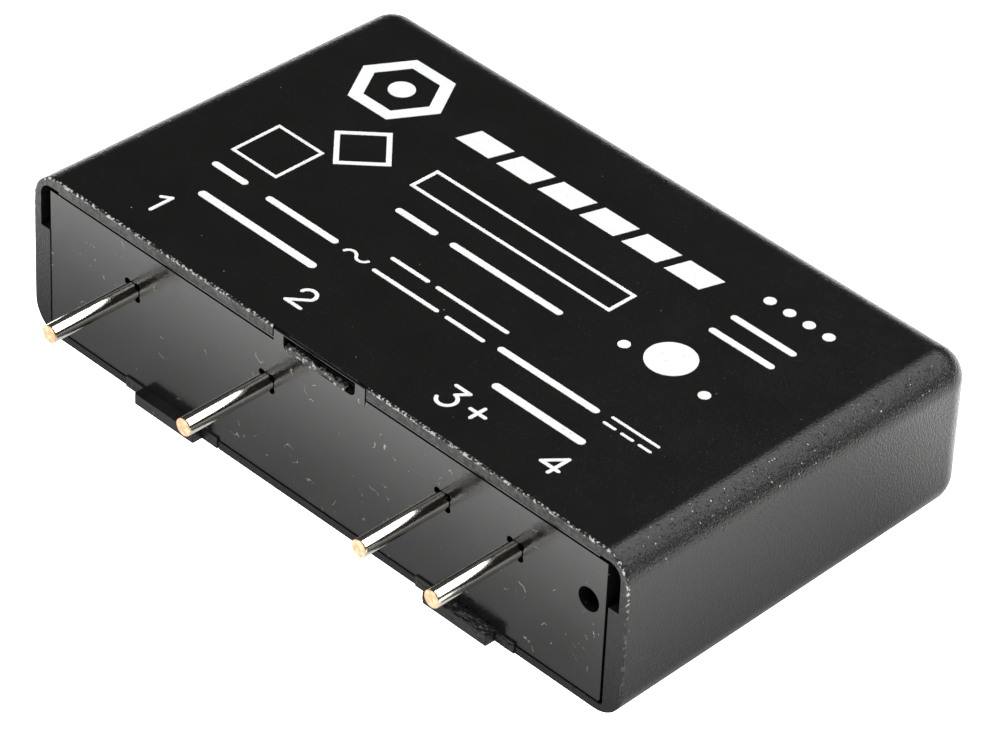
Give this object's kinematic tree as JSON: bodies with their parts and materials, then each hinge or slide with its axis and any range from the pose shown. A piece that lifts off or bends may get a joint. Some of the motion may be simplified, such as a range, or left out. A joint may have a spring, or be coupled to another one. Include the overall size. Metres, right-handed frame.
{
  "type": "solid state relay",
  "caption": "Solid state relay in a slim moulded box with one row of round solder pins, for switching mains loads from a printed-circuit board.",
  "frame": {"origin": "centre of the bounding box's underside: the relay lies on its blank back wall", "axes": "+X along the row of pins from pin 1 to pin 4, +Y from the pin face to the top of the case (the pins point to -Y), +Z out of the printed front wall"},
  "size_m": [0.0432, 0.031, 0.0102],
  "materials": {
    "black_moulding": "fine spark-eroded grain",
    "base_moulding": "smooth satin",
    "tinned_wire": "bright tin on copper wire, bare at the cut end",
    "board_laminate": "green solder resist on glass epoxy",
    "copper": "bare copper foil",
    "solder": "bright solder",
    "plate_aluminium": "rolled sheet",
    "gap_silicone": "soft matt silicone",
    "component_epoxy": "moulded epoxy",
    "chip_ceramic": "glazed resistor ceramic",
    "capacitor_ceramic": "fired ceramic",
    "white_ink": "pad-printed ink"
  },
  "bodies": {
    "root": {"case_shell": "black_moulding", "terminal_base": "base_moulding", "pin_1": "tinned_wire", "pin_2": "tinned_wire", "pin_3": "tinned_wire", "pin_4": "tinned_wire", "circuit_board": "board_laminate", "top_copper": "copper", "bottom_copper": "copper", "pin_solder": "solder", "lead_solder": "solder", "heat_spreader": "plate_aluminium", "gap_filler_pad": "gap_silicone", "triac_body": "component_epoxy", "triac_tab": "plate_aluminium", "triac_leads": "tinned_wire", "triac_rivet": "plate_aluminium", "optocoupler_body": "component_epoxy", "optocoupler_leads": "tinned_wire", "snubber_capacitor": "capacitor_ceramic", "snubber_resistor": "chip_ceramic", "trigger_resistor": "chip_ceramic", "gate_resistor": "chip_ceramic", "input_resistor": "chip_ceramic", "sense_resistor": "chip_ceramic", "bias_resistor": "chip_ceramic", "end_caps": "solder", "regulator_transistor_1": "component_epoxy", "regulator_transistor_2": "component_epoxy", "transistor_leads": "tinned_wire", "reverse_diode": "component_epoxy", "diode_leads": "tinned_wire", "printed_marks": "white_ink"}
  },
  "joints": []
}
